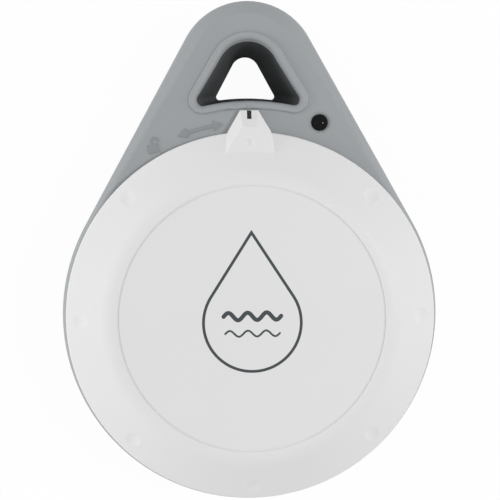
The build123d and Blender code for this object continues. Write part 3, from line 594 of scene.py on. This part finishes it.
class LEAKSENSOR_OT_stage(LeakSensorPiece, bpy.types.Operator):
    """Set the pale floor, the soft lamps and the camera"""
    bl_idname = "leaksensor.stage"
    bl_label = "Set stage"

    def execute(self, context):
        self.lay_floor()
        self.hang_lamps()
        self.light_world(context.scene)
        self.place_camera(context.scene)
        return {"FINISHED"}

    def lay_floor(self):
        # Matt paper, whose fibres hardly show
        material = bpy.data.materials.new("matt_paper_sweep")
        material.use_nodes = True
        tree = material.node_tree
        tree.nodes.clear()
        fibres = add(tree, "ShaderNodeTexNoise", real_size(tree, 2.0, Detail=4.0)).outputs["Fac"]
        white = tinted(tree, hex_colour("#F4F4F4"), fibres, change=0.004)
        paper = add(tree, "ShaderNodeBsdfDiffuse", {"Color": white})
        glow = add(tree, "ShaderNodeEmission", {"Color": hex_colour("#FFFFFF"), "Strength": 1.0})
        # The paper glows for most of what is seen, and the rest of it keeps the sensor's shadow
        share = add(tree, "ShaderNodeMath", {0: seen_rays(tree), 1: FLOOR_GLOW_SHARE}, operation="MULTIPLY")
        both = {0: share.outputs["Value"], 1: paper.outputs["BSDF"], 2: glow.outputs["Emission"]}
        mix = add(tree, "ShaderNodeMixShader", both)
        add(tree, "ShaderNodeOutputMaterial", {"Surface": mix.outputs["Shader"]})
        mesh = bmesh.new()
        bmesh.ops.create_grid(mesh, x_segments=FLOOR_CELLS, y_segments=FLOOR_CELLS, size=FLOOR_HALF)
        floor = mesh_object("floor", mesh, material)

    def hang_lamps(self):
        middle = (cad_low + cad_high) / 2
        for name, (place, width, length, watts, mirrored) in LAMPS.items():
            light = bpy.data.lights.new(name, "AREA")
            light.shape = "RECTANGLE"
            light.size = width
            light.size_y = length
            light.energy = watts
            lamp = bpy.data.objects.new(name, light)
            lamp.location = place
            lamp.rotation_euler = look_from(place, middle)
            lamp.visible_glossy = mirrored
            bpy.context.scene.collection.objects.link(lamp)

    def light_world(self, scene):
        world = bpy.data.worlds.new("studio")
        scene.world = world
        world.use_nodes = True
        tree = world.node_tree
        tree.nodes.clear()
        # White where it is seen, and the fill's strength where it lights the sensor
        levels = {"Value": seen_rays(tree), "To Min": FILL_STRENGTH, "To Max": 1.0}
        strength = add(tree, "ShaderNodeMapRange", levels).outputs["Result"]
        glow = add(tree, "ShaderNodeBackground", {"Color": hex_colour("#FFFFFF"), "Strength": strength})
        add(tree, "ShaderNodeOutputWorld", {"Surface": glow.outputs["Background"]})

    def place_camera(self, scene):
        lens = bpy.data.cameras.new("camera")
        lens.lens = CAMERA_LENS_MM
        lens.sensor_width = CAMERA_SENSOR_MM
        lens.clip_start = CAMERA_CLIP
        camera = bpy.data.objects.new("camera", lens)
        camera.location = CAMERA_PLACE
        camera.rotation_euler = look_from(CAMERA_PLACE, CAMERA_TARGET, CAMERA_ROLL)
        scene.collection.objects.link(camera)
        scene.camera = camera


class LEAKSENSOR_OT_housings(LeakSensorPiece, bpy.types.Operator):
    """Finish the two housings in spark-eroded ABS"""
    bl_idname = "leaksensor.housings"
    bl_label = "Finish housings"

    def execute(self, context):
        colours = context.scene.leak_sensor_colours
        # An even fine grain, which only shows from close by
        grey = spark_eroded_abs("spark_eroded_abs_grey", colours.housing, grain_mm=0.3, relief_mm=0.008,
                                roughness=0.5)
        paint(grey, "front_housing")
        # Coarser and dull, with next to no sheen, so that the hang hole's walls stay dark in grazing light
        charcoal = spark_eroded_abs("spark_eroded_abs_charcoal", colours.rear, grain_mm=0.4, relief_mm=0.014,
                                    roughness=0.75, sheen_level=0.01)
        paint(charcoal, "rear_housing")
        return {"FINISHED"}


class LEAKSENSOR_OT_cover(LeakSensorPiece, bpy.types.Operator):
    """Finish the twist cover in satin white ABS"""
    bl_idname = "leaksensor.cover"
    bl_label = "Finish cover"

    def execute(self, context):
        paint(satin_abs("satin_abs_white", context.scene.leak_sensor_colours.cover), "twist_cover")
        return {"FINISHED"}


class LEAKSENSOR_OT_print(LeakSensorPiece, bpy.types.Operator):
    """Print a water drop with two waves on the cover"""
    bl_idname = "leaksensor.print"
    bl_label = "Print drop"

    def execute(self, context):
        size = context.scene.leak_sensor_print
        ink = screen_print_ink("screen_print_ink", context.scene.leak_sensor_colours.print_ink)
        low = field_z - size.thickness
        high = field_z + size.thickness
        edge = size.thickness * INK_EDGE_SHARE
        drop = bmesh.new()
        band(drop, drop_outline(size, 0), drop_outline(size, size.stroke), low, high, edge)
        new_piece("drop_print", drop, ink, "cover")
        waves = bmesh.new()
        for name, stroke in (("upper", size.wave_bold), ("lower", size.wave_fine)):
            lift, rise, width_share = WAVE_LINES[name]
            middle = Vector((axis_x, axis_y - size.drop_shift + lift))
            line = wave_line(size.wave_width * width_share, rise, middle)
            pen_line(waves, line, stroke / 2, low, high, edge)
        new_piece("wave_print", waves, ink, "cover")
        return {"FINISHED"}


class LEAKSENSOR_OT_signs(LeakSensorPiece, bpy.types.Operator):
    """Stand the double arrow and the open padlock out of the front housing"""
    bl_idname = "leaksensor.signs"
    bl_label = "Mould signs"

    def execute(self, context):
        size = context.scene.leak_sensor_signs
        deck = context.scene.leak_sensor_colours.housing
        # Etched more deeply than the deck's grain, so that the signs take less sheen; their colour is also
        # painted darker than the deck's, as painted shade
        painted_shade_tone = [SIGN_PAINTED_SHADE_SHARE * value for value in deck]
        grey = spark_eroded_abs("etched_abs_grey_painted_shade", painted_shade_tone, grain_mm=0.25, relief_mm=0.03, roughness=0.62,
                                sheen_level=0.1)
        heights = (deck_z - SIGN_ROOT, deck_z + size.height)
        edge = size.height * SIGN_EDGE_SHARE
        for name, draw in (("arrow_sign", self.draw_arrow), ("padlock_sign", self.draw_padlock)):
            mesh = bmesh.new()
            draw(mesh, size, *heights, edge)
            new_piece(name, mesh, grey, "case")
        return {"FINISHED"}

    def draw_arrow(self, mesh, size, low, high, edge):
        start, end = ARROW_ENDS
        head = size.arrow_head * HEAD_LENGTH_SHARE / size.arrow_radius
        free = head * HEAD_FREE_SHARE
        shaft = [on_arc(size.arrow_radius, start + free + (end - start - 2 * free) * step / ARROW_STEPS)
                 for step in range(ARROW_STEPS + 1)]
        pen_line(mesh, shaft, size.arrow_width / 2, low, high, edge)
        for tip, way in ((start, 1), (end, -1)):
            corners = [
                on_arc(size.arrow_radius, tip),
                on_arc(size.arrow_radius + size.arrow_head / 2, tip + way * head),
                on_arc(size.arrow_radius - size.arrow_head / 2, tip + way * head),
            ]
            slab(mesh, corners[::way], low, high + SIGN_LAP, edge)

    def draw_padlock(self, mesh, size, low, high, edge):
        base = on_arc(size.lock_radius, LOCK_TURN)
        across = Vector((cos(LOCK_TILT), sin(LOCK_TILT)))
        upward = Vector((-sin(LOCK_TILT), cos(LOCK_TILT)))
        corner = size.lock_width * LOCK_CORNER_SHARE
        tall = size.lock_width * LOCK_HALF_HEIGHT_SHARE
        x_reach = size.lock_width / 2 - corner
        y_reach = tall - corner
        body = []
        for quarter, (x_side, y_side) in enumerate(((1, 1), (-1, 1), (-1, -1), (1, -1))):
            for step in range(CORNER_STEPS + 1):
                angle = pi / 2 * (quarter + step / CORNER_STEPS)
                x = x_side * x_reach + corner * cos(angle)
                y = y_side * y_reach + corner * sin(angle)
                body.append(base + across * x + upward * y)
        slab(mesh, body, low, high, edge)
        # The long leg stands on the body's middle, and the short one hangs free beside it
        ring = size.lock_width * SHACKLE_RADIUS_SHARE
        middle = base + upward * (tall + ring * LONG_LEG_SHARE) + across * ring
        shackle = [middle - across * ring - upward * ring * LONG_LEG_SHARE]
        for step in range(SHACKLE_STEPS + 1):
            angle = pi * (1 - step / SHACKLE_STEPS)
            shackle.append(middle + across * ring * cos(angle) + upward * ring * sin(angle))
        shackle.append(middle + across * ring - upward * ring * SHORT_LEG_SHARE)
        pen_line(mesh, shackle, size.lock_stroke / 2, low, high + SIGN_LAP, edge)


class LEAKSENSOR_OT_index(LeakSensorPiece, bpy.types.Operator):
    """Fill the groove in the pointer's tip with black paint"""
    bl_idname = "leaksensor.index"
    bl_label = "Paint index line"

    def execute(self, context):
        black = screen_print_ink("index_paint", context.scene.leak_sensor_colours.index_paint)
        lean = atan((POINTER_RISE - POINTER_TIP_RISE) / POINTER_SLOPE_LENGTH)
        tip = Vector((axis_x, cover_high.y, deck_z + POINTER_TIP_RISE))
        back = Vector((0, -cos(lean), sin(lean)))
        up = Vector((0, sin(lean), cos(lean)))
        side = INDEX_WIDTH / 2 - PAINT_MARGIN
        near = PAINT_MARGIN
        far = INDEX_LENGTH - PAINT_MARGIN
        mesh = bmesh.new()
        rows = []
        for height in (-INDEX_DEPTH - PAINT_MARGIN, -INDEX_DEPTH * PAINT_SINK_SHARE):
            level = tip + up * height
            rows.append([mesh.verts.new(level + Vector((x, 0, 0)) + back * along)
                         for x, along in ((-side, near), (side, near), (side, far), (-side, far))])
        skin(mesh, rows)
        close_ends(mesh, rows)
        top = set(rows[-1])
        edges = [edge for edge in mesh.edges if set(edge.verts) <= top]
        bmesh.ops.bevel(mesh, geom=edges, offset=PAINT_EDGE, segments=PAINT_EDGE_STEPS, affect="EDGES")
        new_piece("index_line", mesh, black, "cover")
        return {"FINISHED"}


class LEAKSENSOR_OT_lens(LeakSensorPiece, bpy.types.Operator):
    """Finish the status light and its smoked lens"""
    bl_idname = "leaksensor.lens"
    bl_label = "Finish light"

    def execute(self, context):
        paint(smoked_lens("smoked_polycarbonate", context.scene.leak_sensor_colours.lens), "led_lens")
        paint(led_body("led_reflector_plastic"), "status_led")
        return {"FINISHED"}


class LEAKSENSOR_OT_seals(LeakSensorPiece, bpy.types.Operator):
    """Finish the rubber seals"""
    bl_idname = "leaksensor.seals"
    bl_label = "Finish seals"

    def execute(self, context):
        rubber = moulded_silicone("moulded_silicone", context.scene.leak_sensor_colours.rubber)
        paint(rubber, "cover_seal", "housing_gasket", "pin_seal_nose", "pin_seal_left", "pin_seal_right")
        return {"FINISHED"}


class LEAKSENSOR_OT_metal(LeakSensorPiece, bpy.types.Operator):
    """Finish sensing pins, screws, contacts, cans and the antenna wire"""
    bl_idname = "leaksensor.metal"
    bl_label = "Finish metal pieces"

    def execute(self, context):
        pins = ("sensing_pin_nose", "sensing_pin_left", "sensing_pin_right")
        centres = [sum(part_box(pin), Vector()) / 2 for pin in pins]
        paint(turned_stainless("turned_stainless_steel", centres), *pins)
        paint(zinc_plated_steel("zinc_plated_steel"), "case_screws", "board_screws", "tray_screws")
        paint(stamped_nickel("nickel_plated_spring_steel"), "positive_plate", "negative_plate",
              "bridge_plate", "bridge_spring", "negative_spring")
        paint(drawn_can("drawn_aluminium_can", "#C4C5C4"), "storage_capacitor")
        paint(drawn_can("drawn_nickel_silver_can", "#C8C4BA"), "crystal", "radio_module")
        paint(lacquered_copper("lacquered_copper_wire"), "antenna_wire")
        return {"FINISHED"}


class LEAKSENSOR_OT_electronics(LeakSensorPiece, bpy.types.Operator):
    """Finish the board, its chips, the switch and its button"""
    bl_idname = "leaksensor.electronics"
    bl_label = "Finish electronics"

    def execute(self, context):
        colours = context.scene.leak_sensor_colours
        paint(solder_masked_board("solder_masked_glass_epoxy", colours.board), "circuit_board")
        paint(moulded_epoxy("moulded_epoxy"), "microcontroller", "pair_switch")
        paint(satin_abs("satin_abs_button", colours.button), "pair_button")
        return {"FINISHED"}


class LEAKSENSOR_OT_cells(LeakSensorPiece, bpy.types.Operator):
    """Finish the battery tray and its two cells"""
    bl_idname = "leaksensor.cells"
    bl_label = "Finish cells"

    def execute(self, context):
        colours = context.scene.leak_sensor_colours
        black = spark_eroded_abs("spark_eroded_abs_black", colours.tray, grain_mm=0.4, relief_mm=0.012,
                                 roughness=0.55)
        paint(black, "battery_tray")
        low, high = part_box("battery_left")
        film_end = (high.y - low.y) / 2 - CELL_BARE_LENGTH
        paint(filmed_cell("shrink_filmed_can", colours.jacket, film_end), "battery_left", "battery_right")
        return {"FINISHED"}


class LEAKSENSOR_PT_panel(bpy.types.Panel):
    """Lists the sensor's pieces in the sidebar"""
    bl_idname = "LEAKSENSOR_PT_panel"
    bl_label = "Leak sensor"
    bl_space_type = "VIEW_3D"
    bl_region_type = "UI"
    bl_category = "Leak sensor"

    def draw(self, context):
        layout = self.layout
        for group in SETTINGS:
            settings = getattr(context.scene, group)
            box = layout.box()
            for name in settings.bl_rna.properties.keys():
                if name not in ("rna_type", "name"):
                    box.prop(settings, name)
        for operator in OPERATORS:
            layout.operator(operator.bl_idname)


SETTINGS = {
    "leak_sensor_colours": LeakSensorColours,
    "leak_sensor_print": LeakSensorPrint,
    "leak_sensor_signs": LeakSensorSigns,
}
OPERATORS = (
    LEAKSENSOR_OT_stage,
    LEAKSENSOR_OT_housings,
    LEAKSENSOR_OT_cover,
    LEAKSENSOR_OT_print,
    LEAKSENSOR_OT_signs,
    LEAKSENSOR_OT_index,
    LEAKSENSOR_OT_lens,
    LEAKSENSOR_OT_seals,
    LEAKSENSOR_OT_metal,
    LEAKSENSOR_OT_electronics,
    LEAKSENSOR_OT_cells,
)


def register():
    for name, group in SETTINGS.items():
        bpy.utils.register_class(group)
        setattr(bpy.types.Scene, name, bpy.props.PointerProperty(type=group))
    for operator in OPERATORS:
        bpy.utils.register_class(operator)
    bpy.utils.register_class(LEAKSENSOR_PT_panel)


def unregister():
    bpy.utils.unregister_class(LEAKSENSOR_PT_panel)
    for operator in reversed(OPERATORS):
        bpy.utils.unregister_class(operator)
    for name, group in SETTINGS.items():
        delattr(bpy.types.Scene, name)
        bpy.utils.unregister_class(group)


def main():
    register()
    bpy.context.scene.view_settings.view_transform = "Standard"
    for operator in OPERATORS:
        group, call = operator.bl_idname.split(".")
        getattr(getattr(bpy.ops, group), call)()


if __name__ == "__main__":
    main()
